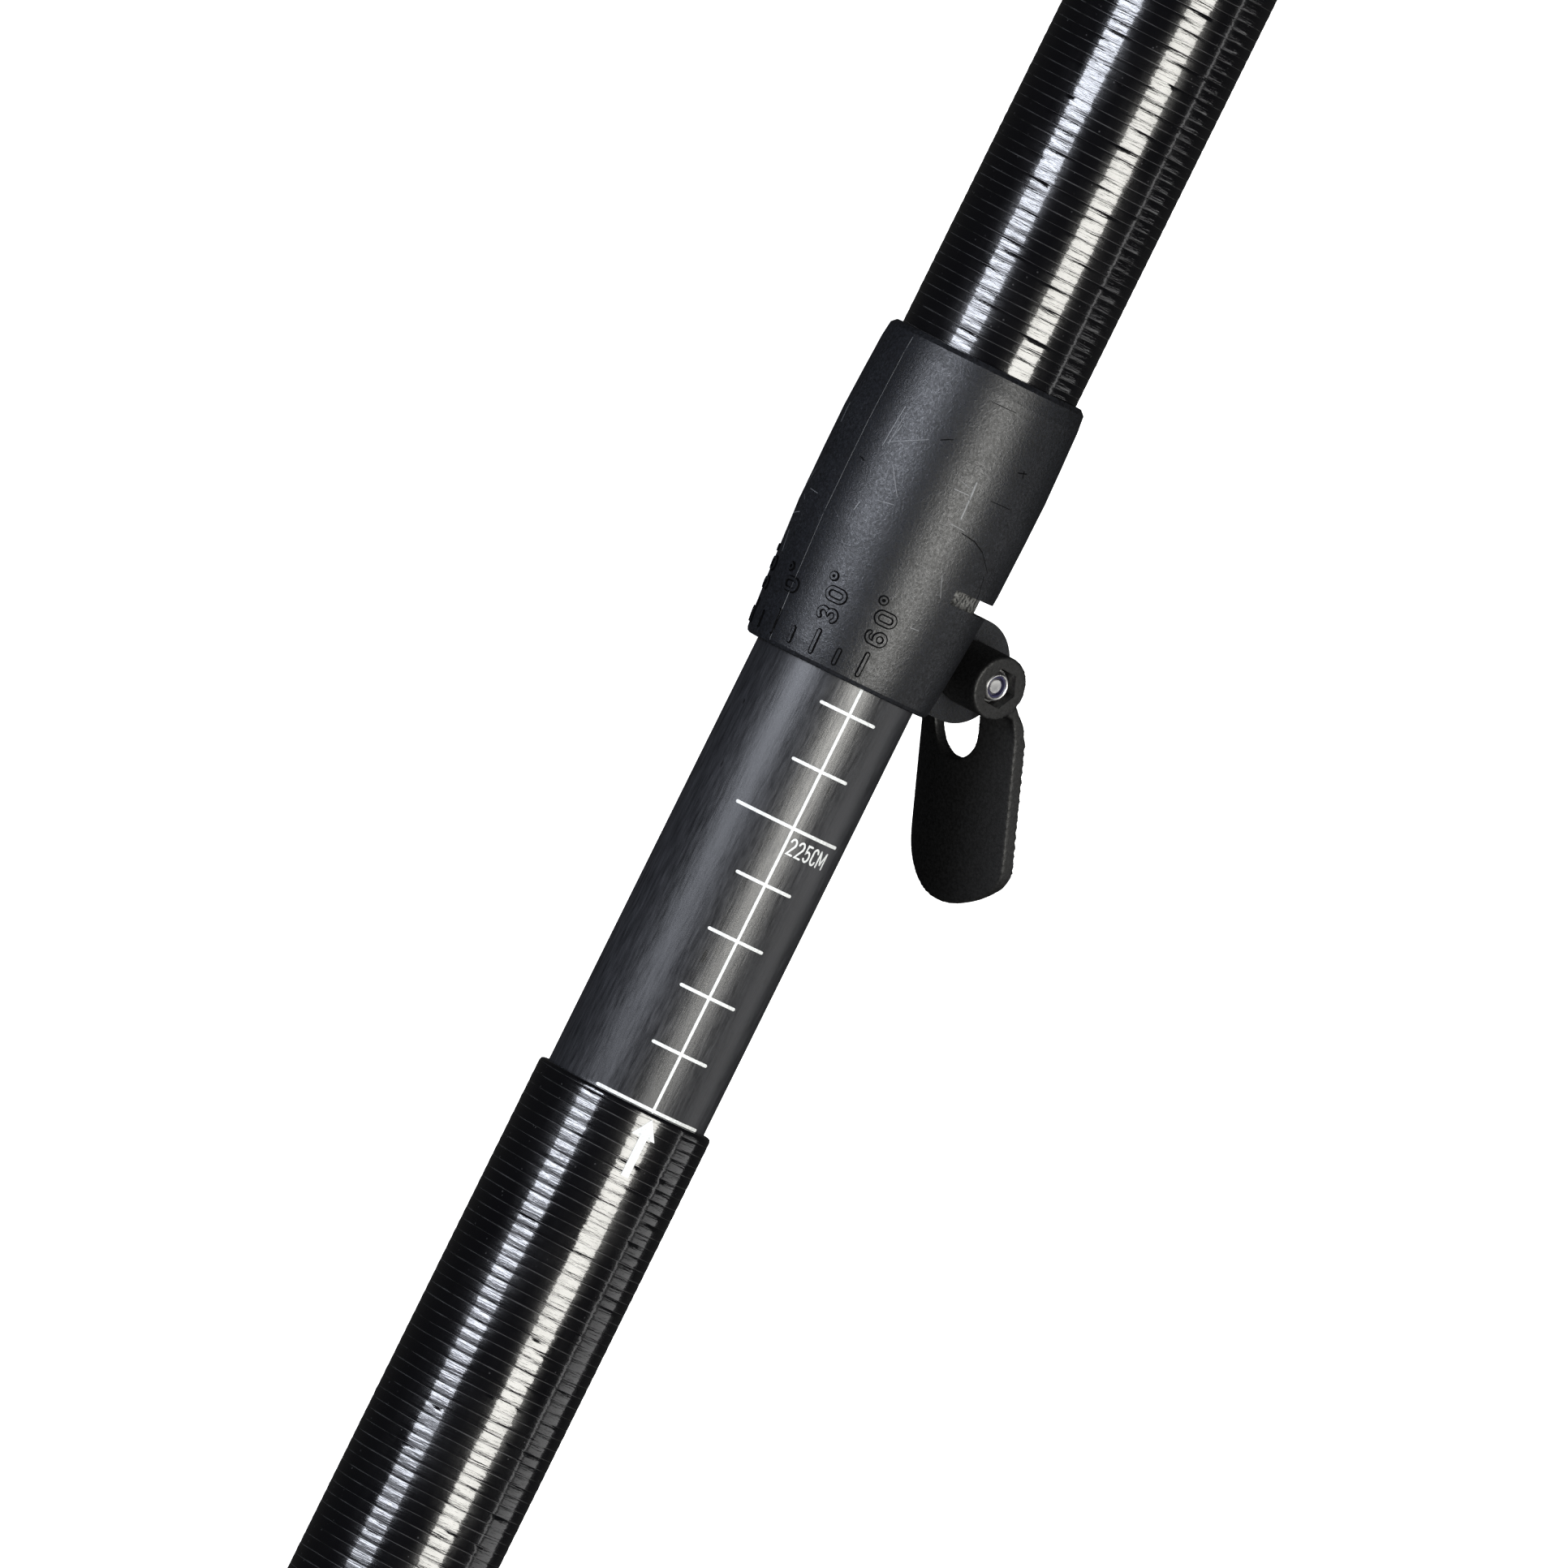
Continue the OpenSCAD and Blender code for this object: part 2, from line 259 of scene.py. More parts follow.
def ridge_material():
    """The groove between the winding tape's turns: duller, and paler than the lacquer as a painted
    highlight of light catching its edges, patchy along it.
    """
    material, tree, shader = new_material("wound_groove_painted_glint", (0.012, 0.012, 0.013), 0.3)
    shader.inputs["Coat Weight"].default_value = 0.7
    shader.inputs["Coat Roughness"].default_value = 0.12
    groove_glint = noise_of(tree, 300, 3)
    stops = [(0.35, (0.004, 0.004, 0.004)), (0.65, (0.045, 0.045, 0.047))]
    tree.links.new(ramp(tree, groove_glint, stops), shader.inputs["Base Color"])
    return material


def inner_material():
    """Sanded composite: dark grey with a dull sheen, a fine grain along the tube and nicks."""
    material, tree, shader = new_material("inner_tube", (0.02, 0.021, 0.025), 0.35)
    shader.inputs["Specular IOR Level"].default_value = 0.95
    grain = noise_of(tree, 1700, 5, (0.12, 1, 1), 0.7)
    patches = noise_of(tree, 150, 4, (0.25, 1, 1))
    dark = ramp(tree, grain, [(0.3, (0.007, 0.0075, 0.009)), (0.7, (0.03, 0.031, 0.036))])
    pale = ramp(tree, grain, [(0.3, (0.011, 0.0115, 0.014)), (0.7, (0.042, 0.043, 0.049))])
    nicks = noise_of(tree, 700, 2, (0.3, 1, 1))
    body = mix_color(tree, ramp(tree, patches, [(0.35, 0.0), (0.65, 1.0)]), dark, pale)
    tree.links.new(mix_color(tree, ramp(tree, nicks, [(0.23, 1.0), (0.28, 0.0)]), body,
                             (0.004, 0.004, 0.005)), shader.inputs["Base Color"])
    tree.links.new(ramp(tree, grain, [(0.3, 0.27), (0.7, 0.43)]), shader.inputs["Roughness"])
    bump(tree, shader, grain, 0.00006, 0.6)
    return material


def moulded_material(name, color, roughness, wear):
    """Moulded plastic with a fine grain. wear is how rubbed it is, from 0 to 1."""
    material, tree, shader = new_material(name, color, roughness)
    grain = noise_of(tree, 2000, 4, rough=0.75)
    darker = tuple(0.35 * c for c in color)
    lighter = tuple(1.9 * c for c in color)
    tint = ramp(tree, grain, [(0.38, darker), (0.62, lighter)])
    if wear:
        rubbed = ramp(tree, noise_of(tree, 90, 3), [(0.5, 0.0), (0.68, wear)])
        specks = ramp(tree, noise_of(tree, 2600, 4, rough=0.8), [(0.5, 0.0), (0.62, 1.0)])
        pale = tuple(2.2 * c + 0.012 for c in color)
        tint = mix_color(tree, multiply(tree, rubbed, specks), tint, pale)
    tree.links.new(tint, shader.inputs["Base Color"])
    tree.links.new(ramp(tree, grain, [(0.36, roughness + 0.12), (0.64, roughness - 0.1)]),
                   shader.inputs["Roughness"])
    bump(tree, shader, grain, 0.00009, 0.8)
    return material


def steel_material(name, color, roughness):
    """Steel with uneven polish."""
    material, tree, shader = new_material(name, color, roughness, 1.0)
    marks = noise_of(tree, 900, 3)
    tree.links.new(ramp(tree, marks, [(0.3, roughness * 0.7), (0.7, roughness * 1.4)]),
                   shader.inputs["Roughness"])
    return material


def soft_material(name, color, roughness, scale, depth, shine=0.5):
    """Rubber, foam, nylon or paint: one colour with a fine cell or moulding texture."""
    material, tree, shader = new_material(name, color, roughness)
    shader.inputs["Specular IOR Level"].default_value = shine
    cells = noise_of(tree, scale, 3)
    darker = tuple(0.75 * c for c in color)
    tree.links.new(ramp(tree, cells, [(0.35, darker), (0.65, color)]),
                   shader.inputs["Base Color"])
    bump(tree, shader, cells, depth, 0.6)
    return material


def cut_tube_material():
    """Bare composite where the lacquer was sanded off: grey with pale and dark specks."""
    material, tree, shader = new_material("raw_shaft_end", (0.06, 0.06, 0.058), 0.6)
    specks = noise_of(tree, 1500, 4, rough=0.75)
    stops = [(0.42, (0.006, 0.006, 0.006)), (0.62, (0.22, 0.22, 0.215))]
    tree.links.new(ramp(tree, specks, stops), shader.inputs["Base Color"])
    bump(tree, shader, specks, 0.0001, 0.8)
    return material


WOUND = wound_material()
INNER = inner_material()
COLLAR = moulded_material("collar_plastic", (0.0095, 0.0102, 0.0125), 0.34, 0.8)
LEVER = moulded_material("lever_plastic", (0.0095, 0.0095, 0.0098), 0.46, 0.0)
BLADE = moulded_material("blade_plastic", (0.02, 0.0205, 0.022), 0.42, 0.4)
# Near-black: painted shade on the marks' steps and walls, and the dark nicks
SHADE = soft_material("painted_shade_and_nicks", (0.002, 0.002, 0.0025), 0.8, 2500, 0.000004, 0.08)
# Pale: the scratches' own colour, and a painted highlight on the parting line
SCRATCH_AND_HIGHLIGHT = soft_material("scratched_plastic_and_painted_highlight", (0.2, 0.205, 0.215), 0.5, 2500, 0.000004)
# Paler than the lacquer: a painted highlight in the grooves
GROOVE_GLINT = ridge_material()
RUBBER = soft_material("drip_rubber", (0.012, 0.012, 0.012), 0.62, 1800, 0.00003)
FOAM = soft_material("foam", (0.12, 0.12, 0.12), 0.9, 1400, 0.0002)
ACETAL = soft_material("guide_acetal", (0.72, 0.71, 0.66), 0.4, 700, 0.00001)
NYLON = soft_material("blue_nylon", (0.022, 0.02, 0.07), 0.4, 900, 0.00001)
STEEL = steel_material("bright_steel", (0.85, 0.85, 0.86), 0.36)
RAW_END = cut_tube_material()
PRINT = soft_material("white_print", (0.86, 0.88, 0.88), 0.5, 2500, 0.000004)


for node, material in (
        ("clamp_collar", COLLAR), ("clamp_bolt", STEEL), ("bolt_washer", STEEL),
        ("nut_nylon_ring", NYLON), ("guide_ring", ACETAL), ("ferrule_plug", FOAM),
        ("lower_shaft_plug", FOAM), ("upper_shaft_plug", FOAM),
        ("lower_drip_ring", RUBBER), ("upper_drip_ring", RUBBER)):
    nodes[node].data.materials.clear()
    nodes[node].data.materials.append(material)


# ---------------------------------------------------------------- wound shafts

AROUND = 72             # points round a wound tube
GROOVE = 0.035          # groove's half-width, as a share of the pitch
GROOVE_DEPTH = 0.012    # below the bands' edges
BARREL = 0.035          # how far the middle of a band stands out
SKIN = 0.045            # how far the bands' edges lie inside the CAD shaft's surface
PLAIN_END = 0.6         # length at each end that has no bands


def wound_tube(x0, x1, radius, pitch, seed):
    """A tube whose outside keeps the bands of the helical tape it was cured in. Gives its
    points, its faces and the numbers of the groove's faces."""
    start, end = x0 + PLAIN_END, x1 - PLAIN_END
    base = radius - SKIN
    bore = BORE / math.cos(math.pi / AROUND)    # its flats lie BORE from the axis
    turns = int((x1 - x0) / pitch) + 3
    # One turn of the tape: (share of the pitch, rise above the band's edge)
    profile = ((0, -GROOVE_DEPTH), (GROOVE, 0.0), (0.5, BARREL), (1 - GROOVE, 0.0))
    per_turn = len(profile)
    rows = []
    for k in range(-per_turn, turns * per_turn):
        turn, step = divmod(k, per_turn)
        share, rise = profile[step]
        row = []
        for j in range(AROUND):
            angle = -360 * j / AROUND
            a = math.radians(angle)
            where = Vector((turn * 0.7, 2 * math.cos(a), 2 * math.sin(a) + seed))
            wander = 0.05 * noise.noise(where)
            x = x0 + pitch * (turn + share + j / AROUND + wander)
            if start < x < end:
                where = Vector((x * 0.5, math.cos(a) * 3, math.sin(a) * 3 + seed))
                uneven = 1 + 1.1 * noise.noise(where)
                r = base + rise * uneven + 0.004 * noise.noise(where * 5)
            else:
                x, r = min(max(x, start), end), base
            row.append(spot(x, r, angle))
        rows.append(row)

    def ring(x, r):
        return [spot(x, r, -360 * j / AROUND) for j in range(AROUND)]

    points = [p for row in rows for p in row]
    faces, grooves = [], []
    for i in range(len(rows) - 1):
        for j in range(AROUND):
            a, b = i * AROUND + j, i * AROUND + j + 1
            if j == AROUND - 1:         # the helix goes on, one turn further
                b = (i + per_turn) * AROUND
                if b + AROUND >= len(points):
                    continue
            if i % per_turn in (0, per_turn - 1):
                grooves.append(len(faces))
            faces.append((a, b, b + AROUND, a + AROUND))
    # The bore and both rounded rims: (place, radius)
    inside = ((start, base), (x0 + 0.15, radius - 0.2), (x0, radius - 0.5), (x0, bore),
              (x1, bore), (x1, radius - 0.5), (x1 - 0.15, radius - 0.2), (end, base))
    ends = rows_to_faces([ring(x, r) for x, r in inside], closed=False)
    return *join_shapes([(points, faces), ends]), grooves


def wound_shaft(name, x0, x1, radius, pitch, seed, body, node):
    """A wound shaft that replaces its CAD node."""
    points, faces, grooves = wound_tube(x0, x1, radius, pitch, seed)
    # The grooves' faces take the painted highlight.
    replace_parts(solid(name, points, faces, WOUND, body, "wound_shaft", 60, GROOVE_GLINT, grooves), node)


SLIT = 2.0                          # width of the upper shaft's slit
SLOTTED_FOOT = LOW_COLLAR + 6       # lower end of the upper shaft
SLOTTED_TOP = LOW_COLLAR + 21.8     # where its slit ends
wound_shaft("lower_shaft_wound", LOWER_ROOT, 0, LOWER_R, 1.86, 1, "lower_half", "lower_shaft")
wound_shaft("upper_shaft_wound", SLOTTED_TOP, UPPER_ROOT, UPPER_R, 1.76, 5, "upper_half",
            "upper_shaft")


def slotted_end():
    """The upper shaft's slit end, a C in section, seen through the collar's slot."""
    half = math.degrees(SLIT / 2 / UPPER_R)
    steps = 96
    turns = [EAR_TURN + half + (360 - 2 * half) * i / steps for i in range(steps + 1)]
    outline = [(UPPER_R, t) for t in turns] + [(BORE, t) for t in reversed(turns)]
    rows = [[spot(x, r, t) for r, t in outline] for x in (SLOTTED_FOOT, SLOTTED_TOP)]
    points, faces = rows_to_faces(rows, closed=False)
    size = len(outline)
    for start in (0, size):
        faces += strip_faces(start, size - 1, steps)
    return points, faces


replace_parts(solid("upper_shaft_slotted_end", *slotted_end(), RAW_END, "upper_half",
                  "wound_shaft"), "upper_shaft")


# ---------------------------------------------------------------- inner tube and its print

def inner_tube():
    """The inner tube, with the guide ring's seat near its top."""
    x0, x1 = INNER_ENDS
    inside = BORE - 1.6         # leaves a wall of 1.55
    seat0, seat1 = x1 - 12, x1 - 12 + 5
    seat_r = INNER_R - 0.7
    return lathe([(x0, inside), (x0, INNER_R - 0.2), (x0 + 0.3, INNER_R), (seat0, INNER_R),
                  (seat0, seat_r), (seat1, seat_r), (seat1, INNER_R), (x1 - 0.8, INNER_R),
                  (x1, seat_r), (x1, inside)], 160)


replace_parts(solid("inner_tube", *inner_tube(), INNER, "lower_half", "inner_tube"),
            "male_ferrule")


def bow(x, y, rx, ry, start, end, steps=12):
    """Points along an arc of an ellipse round x and y, between two directions."""
    turns = [math.radians(start + (end - start) * i / steps) for i in range(steps + 1)]
    return [(x + rx * math.cos(a), y + ry * math.sin(a)) for a in turns]


UPPER_BOW, LOWER_BOW = (0.5, 0.72, 0.5, 0.28), (0.5, 0.28, 0.5, 0.28)
FULL_TURN = (0, 342, 18)            # a closed round, whose last point isn't its first again
CAP_STEPS = (3, 2, 1)               # points of a line's round end, at 45 degrees each
MITRE = 0.6                         # keeps a line's sharp corners from running out
# Each sign is (line, whether it is closed) in a box of 1 by 1.
SIGNS = {
    "0": [(bow(*UPPER_BOW, 0, 180) + bow(*LOWER_BOW, 180, 360), True)],
    "2": [(bow(*UPPER_BOW, 165, -30) + [(0, 0), (1, 0)], False)],
    "3": [(bow(0.48, 0.75, 0.46, 0.25, 150, -75) + bow(0.5, 0.26, 0.5, 0.26, 75, -150), False)],
    "5": [([(0.95, 1), (0.12, 1), (0.05, 0.5)] + bow(0.48, 0.32, 0.52, 0.32, 125, -150), False)],
    "6": [(bow(0.5, 0.29, 0.5, 0.29, *FULL_TURN), True),
          (bow(*UPPER_BOW, 52, 180) + [(0, 0.3)], False)],
    "C": [(bow(*UPPER_BOW, 15, 180) + bow(*LOWER_BOW, 180, 345), False)],
    "M": [([(0, 0), (0, 1)], False), ([(0.02, 1), (0.5, 0.2)], False),
          ([(0.5, 0.2), (0.98, 1)], False), ([(1, 1), (1, 0)], False)],
}


def trim(line, closed):
    """Leaves out points that lie on the one before."""
    out = [line[0]]
    for p in line[1:]:
        if math.dist(p, out[-1]) > 1e-4:
            out.append(p)
    if closed and math.dist(out[0], out[-1]) < 1e-4:
        out.pop()
    return out


def stroke(line, closed, rows, lay):
    """A raised line. rows is its cross-section from one side's foot to its top, as
    (distance from the middle, height); lay puts (x, y, height) on the surface."""
    line = trim(line, closed)
    n = len(line)
    sides = []
    for i, p in enumerate(line):
        before = line[i - 1] if i or closed else p
        after = line[(i + 1) % n] if i < n - 1 or closed else p
        steps = [Vector(b) - Vector(a) for a, b in ((before, p), (p, after)) if a != b]
        steps = [Vector((-s.y, s.x)).normalized() for s in steps]
        middle = sum(steps, Vector((0, 0))).normalized()
        sides.append(middle / max(MITRE, middle.dot(steps[0])))

    def loop(distance, height):
        left = [Vector(p) + distance * s for p, s in zip(line, sides)]
        right = [Vector(p) - distance * s for p, s in zip(line, sides)]
        if closed:
            return left, right, height
        caps = []
        for centre, side in ((line[-1], -sides[-1]), (line[0], sides[0])):
            turns = [Matrix.Rotation(math.radians(45 * k), 2) for k in CAP_STEPS]
            caps.append([Vector(centre) + distance * (turn @ side) for turn in turns])
        return left + caps[0] + right[::-1] + caps[1], height

    def laid(points, height):
        return [lay(q.x, q.y, height) for q in points]

    if closed:
        loops = [loop(*row) for row in rows]
        around = [laid(left, h) for left, _, h in loops]
        around += [laid(right, h) for _, right, h in reversed(loops)]
        return rows_to_faces(around)
    points, faces = rows_to_faces([laid(*loop(*row)) for row in rows], closed=False)
    cap = len(CAP_STEPS)
    size = 2 * (n + cap)
    for start in (0, (len(rows) - 1) * size):
        faces += strip_faces(start, size - 1 - cap, n - 1)
        faces.append(tuple(range(start + n - 1, start + n + cap + 1)))
        faces.append((*range(start + size - 1 - cap, start + size), start))
    return points, faces


def round_shaft(x, turn, r, reading_up=False):
    """Lays a drawing on a cylinder, from its lower left corner at x and turn. It reads round
    the shaft, or along it."""
    def lay(u, v, height):
        along, around = (u, -v) if reading_up else (v, u)
        return spot(x + along, r + height, turn + math.degrees(around / r))
    return lay


def words(text, height, widths, gap, rows, lay):
    """Shapes of a line of signs, each as wide as widths says."""
    shapes = []
    start = 0
    for sign, width in zip(text, widths):
        for line, closed in SIGNS[sign]:
            line = [(start + width * x, height * y) for x, y in line]
            shapes.append(stroke(line, closed, rows, lay))
        start += width + gap
    return shapes


def print_rows(width):
    """A printed line, barely above the surface."""
    return [(width / 2, -0.01), (width / 2, 0.02)]


def scale_bar(length, width, x, along):
    """A round-ended bar of the scale, centred at x, along the shaft or round it. It is cut
    short enough to follow the tube."""
    half = (length - width) / 2
    cuts = max(1, round(length / 1.2))
    line = [(-half + 2 * half * i / cuts, 0) for i in range(cuts + 1)]
    return stroke(line, False, print_rows(width), round_shaft(x, LINE_TURN, INNER_R, along))


LINE_TOP = INNER_ENDS[1] - 18
LINE_W, TICK_W, TEXT_W = 0.5, 0.55, 0.34            # widths of the printed lines
LONG_TICK, SHORT_TICK, FIRST_TICK = 20.7, 10.6, 0.4
TEXT_HEIGHT, TEXT_GAP, TEXT_TURN = 2.6, 0.62, LINE_TURN + 3.3
TEXT_WIDTHS = (0.98, 0.98, 0.98, 0.95, 1.6)         # widths of its five signs
scale_marks = [scale_bar(LINE_TOP, LINE_W, LINE_TOP / 2, True)]
for centimetre in range(11):
    length = SHORT_TICK if centimetre % 5 else LONG_TICK
    scale_marks.append(scale_bar(length, TICK_W, 10 * centimetre + FIRST_TICK, False))
for value, x in (("225CM", 46.35), ("230CM", 96.35)):
    scale_marks += words(value, TEXT_HEIGHT, TEXT_WIDTHS, TEXT_GAP, print_rows(TEXT_W),
                         round_shaft(x, TEXT_TURN, INNER_R))
solid("length_scale", *join_shapes(scale_marks), PRINT, "lower_half", "inner_tube")


def arrow():
    """The index arrow on the lower shaft's end: a head and a stem, bent round the shaft."""
    tip, head, foot = -0.9, -4.1, -10.9
    head_half, stem_half = 2.1, 0.68
    stations = ((tip, 0.03), (head, head_half), (head - 0.01, stem_half), (foot, stem_half))
    top, underside = 0.05, -0.06
    steps = 12
    across = [2 * k / steps - 1 for k in range(steps + 1)]
    rows = [[spot(x, LOWER_R + h, LINE_TURN + math.degrees(half * u / LOWER_R))
             for h, side in ((top, across), (underside, across[::-1])) for u in side]
            for x, half in stations]
    points, faces = rows_to_faces(rows, closed=False)
    size = 2 * (steps + 1)
    for start in (0, (len(rows) - 1) * size):
        faces += strip_faces(start, size - 1, steps)
    return points, faces


solid("index_arrow", *arrow(), PRINT, "lower_half", "wound_shaft")


# ---------------------------------------------------------------- collar's marks

# Collar's outside: (height above its lower edge, radius)
COLLAR_SIDE = ((0, 15.86), (3, 16.25), (10, 16.8), (16, 17.2), (22.5, 17.65), (26, 17.7),
               (32, 17.8), (39, 17.85), (45, 17.65), (51.5, 17.4), (54.2, 17.1))


def collar_r(height):
    """The collar's radius at a height above its lower edge."""
    for (h0, r0), (h1, r1) in zip(COLLAR_SIDE, COLLAR_SIDE[1:]):
        if height <= h1:
            return r0 + (r1 - r0) * (height - h0) / (h1 - h0)
    return COLLAR_SIDE[-1][1]


def on_collar(height, turn):
    """Lays a drawing on the collar's tapered side, at its true size near a height. It reads
    up the shaft."""
    middle = collar_r(height)

    def lay(u, v, rise):
        h = height + u
        return spot(LOW_COLLAR + h, collar_r(h) + rise, turn + math.degrees(-v / middle))
    return lay


MARK_STEP = 15          # degrees from tick to tick
MARK_W = 0.52           # width of a raised line
MARK_RISE = 0.25
OUTLINE = 0.2           # width of the step round it, dark with painted shade
TICK_FOOT, LONG_TOP, SHORT_TOP = 1.8, 5.4, 4.0      # heights above the collar's lower edge
FIGURE_H, FIGURE_W, FIGURE_GAP = 3.0, 1.75, 1.6
FIGURE_FOOT = 7.4       # where a figure of two signs starts
DEGREE_R, DEGREE_W = 0.45, 0.42


def mark_rows(width):
    """A raised line with a shallow step round it, dark with painted shade."""
    return [(width / 2 + OUTLINE, -0.03), (width / 2 + OUTLINE, 0.015), (width / 2, 0.02),
            (width / 2 - 0.05, MARK_RISE)]


def feather_marks():
    """Ticks on both sides of zero, with a figure at every second one, moulded into the
    collar."""
    shapes = []
    rows = mark_rows(MARK_W)
    for step in range(-4, 5):
        turn = MARK_TURN + MARK_STEP * step
        has_figure = step % 2 == 0
        start, end = TICK_FOOT, LONG_TOP if has_figure else SHORT_TOP
        cuts = 4
        line = [(start + (end - start) * i / cuts, 0) for i in range(cuts + 1)]
        shapes.append(stroke(line, False, rows, on_collar(0, turn)))
        if has_figure:
            text = str(abs(MARK_STEP * step))
            pitch = FIGURE_W + FIGURE_GAP
            base = FIGURE_FOOT + (2 - len(text)) * pitch / 2
            lay = on_collar(base, turn + math.degrees(0.5 * FIGURE_H / collar_r(base)))
            shapes += words(text, FIGURE_H, [FIGURE_W] * len(text), FIGURE_GAP, rows, lay)
            degree = bow(len(text) * pitch + 0.1, FIGURE_H + 0.1, DEGREE_R, DEGREE_R, *FULL_TURN)
            shapes.append(stroke(degree, True, mark_rows(DEGREE_W), lay))
    return shapes


def mark_edge_faces(shapes):
    """Numbers of the faces on the marks' steps and walls, all but their tops: these take the
    painted shade.
    """
    numbers = []
    start = 0
    tops = 0.6 * MARK_RISE
    for points, faces in shapes:
        for i, face in enumerate(faces):
            rises = []
            for k in face:
                p = points[k]
                rises.append(math.hypot(p.y, p.z) / MM - collar_r(p.x / MM - LOW_COLLAR))
            if min(rises) < tops:
                numbers.append(start + i)
        start += len(faces)
    return numbers


# The marks' steps and walls take a near-black material: painted shade round the raised lines.
mark_shapes = feather_marks()
solid("feather_marks", *join_shapes(mark_shapes), COLLAR, "upper_half", "collar_plastic",
      second=SHADE, marked=mark_edge_faces(mark_shapes))


# Pale scratches: (height, turn from the camera's side) of both ends, then the width
SCRATCHES = ((43.2, -27, 36.1, -28.5, 0.13), (42.5, -25, 36.8, -26, 0.08),
             (37.1, -26, 40.2, -9.5, 0.08), (40.5, -24, 36.8, -26.5, 0.07),
             (34.1, -19.5, 29.9, -11, 0.08), (28.0, -18.5, 28.5, -10.5, 0.08),
             (37.4, 19.2, 34.5, 19.8, 0.25), (34.8, 19.7, 31.2, 20.2, 0.22),
             (35.0, 11, 35.1, 18.5, 0.12), (29.8, 17, 29.7, 24.5, 0.1),
             (36.6, 12.5, 36.2, 17, 0.08), (26.5, -26.5, 25.0, -27.5, 0.15),
             (12.2, 24, 12.3, 29, 0.1), (18.5, 30, 21.8, 25, 0.08))


def scratch(h0, turn0, h1, turn1, width):
    """A straight, thin line on the collar."""
    steps = 10
    middle = collar_r((h0 + h1) / 2)
    line = []
    for i in range(steps + 1):
        k = i / steps
        turn = math.radians(turn0 + (turn1 - turn0) * k)
        line.append((h0 + (h1 - h0) * k, -middle * turn))
    return stroke(line, False, [(width / 2, -0.02), (width / 2, 0.006)], on_collar(0, VIEW_TURN))


def scratches():
    """The scratches on the camera's side, others all over the back, and the parting line, pale
    with a painted highlight of its edge catching the light.
    """
    shapes = [scratch(*ends) for ends in SCRATCHES]
    draw = random.Random(4)
    for _ in range(26):
        h, turn = draw.uniform(6, 52), draw.uniform(75, 262)
        lean, length = draw.uniform(-1, 1), draw.uniform(2, 7)
        ends = (h, turn, min(53, h + lean * length), turn + 3 * length * (1 - abs(lean)))
        by_the_ears = h < 23 and 110 < turn < 160
        if not by_the_ears:
            shapes.append(scratch(*ends, draw.uniform(0.06, 0.14)))
    # The parting line is pale: a painted highlight of its edge catching the light.
    steps = 30
    line = [(0.6 + 53 * i / steps, 0) for i in range(steps + 1)]
    rows = [(0.035, -0.03), (0.01, 0.02)]
    shapes.append(stroke(line, False, rows, on_collar(0, MARK_TURN + 1)))
    return shapes


solid("collar_scratches_and_parting_line_highlight", *join_shapes(scratches()), SCRATCH_AND_HIGHLIGHT, "upper_half", "collar_plastic")

# Dark nicks, given as the scratches are
NICKS = ((41.0, -4.5, 41.6, -1.5, 0.19), (41.6, -1.5, 41.9, 0.5, 0.15), (41.7, 37, 42.1, 42, 0.2),
         (42.3, 40, 41.2, 41, 0.15), (35.8, 30, 35.9, 42, 0.12), (29.2, 24, 28.9, 32, 0.16),
         (28.9, 32, 27.9, 39, 0.16), (27.9, 39, 25.2, 49, 0.1), (50.0, 9, 50.1, 22, 0.12),
         (24.5, 48, 20.5, 52, 0.1), (33.0, -37, 32.7, -34, 0.18))
solid("collar_nicks", *join_shapes([scratch(*ends) for ends in NICKS]), SHADE, "upper_half",
      "collar_plastic")


# ---------------------------------------------------------------- lever and nut

PIVOT_R = 21.4                      # from the shaft's axis to the bolt's
PIVOT = Vector((LOW_COLLAR + 9.5, PIVOT_R * math.cos(math.radians(EAR_TURN)),
                PIVOT_R * math.sin(math.radians(EAR_TURN))))
LEVER_ANGLE = math.radians(27)      # how far the lever stands out from the shaft at rest
OUTWARDS = Vector((0, math.cos(math.radians(EAR_TURN)), math.sin(math.radians(EAR_TURN))))
ALONG = math.sin(LEVER_ANGLE) * OUTWARDS - math.cos(LEVER_ANGLE) * Vector((1, 0, 0))
AWAY = math.cos(LEVER_ANGLE) * OUTWARDS + math.sin(LEVER_ANGLE) * Vector((1, 0, 0))
BOLT = ALONG.cross(AWAY)            # from the bolt's head to the nut
LEVER_FRAME = Matrix((ALONG, AWAY, BOLT)).transposed().to_4x4()
LEVER_FRAME.translation = PIVOT
LEVER_FRAME = Matrix.Scale(MM, 4) @ LEVER_FRAME
BOSS_IN, BOSS_OUT = 3.6, 12.8       # a boss's faces, from the middle of the bolt
BOSS_R = 4.2
HOLE_R = 1.58
HEAD_POCKET_R = 3.2
HEAD_FLOOR = 3 - BOSS_OUT
NUT_POCKET = 5.9                    # across flats
NUT_FLOOR = BOSS_OUT - 4.85
PAST_BOSS = 14                      # where a cut ends, clear of the bosses
VOXEL = 0.26


def rod(bm, radius, low, high, sides=48):
    """Adds a cylinder along the bolt, or a hexagon with two corners in line with the lever."""
    turn = Matrix.Rotation(math.radians(0 if sides > 6 else 90), 4, "Z")
    middle = Matrix.Translation((0, 0, (low + high) / 2))
    bmesh.ops.create_cone(bm, cap_ends=True, segments=sides, radius1=radius, radius2=radius,
                          depth=high - low, matrix=LEVER_FRAME @ middle @ turn)


def modify(piece, kind, **settings):
    """Gives a piece the mesh that a modifier makes of it."""
    modifier = piece.modifiers.new(kind, kind)
    for key, value in settings.items():
        setattr(modifier, key, value)
    piece.data = bpy.data.meshes.new_from_object(
        piece.evaluated_get(bpy.context.evaluated_depsgraph_get()))
    piece.modifiers.clear()


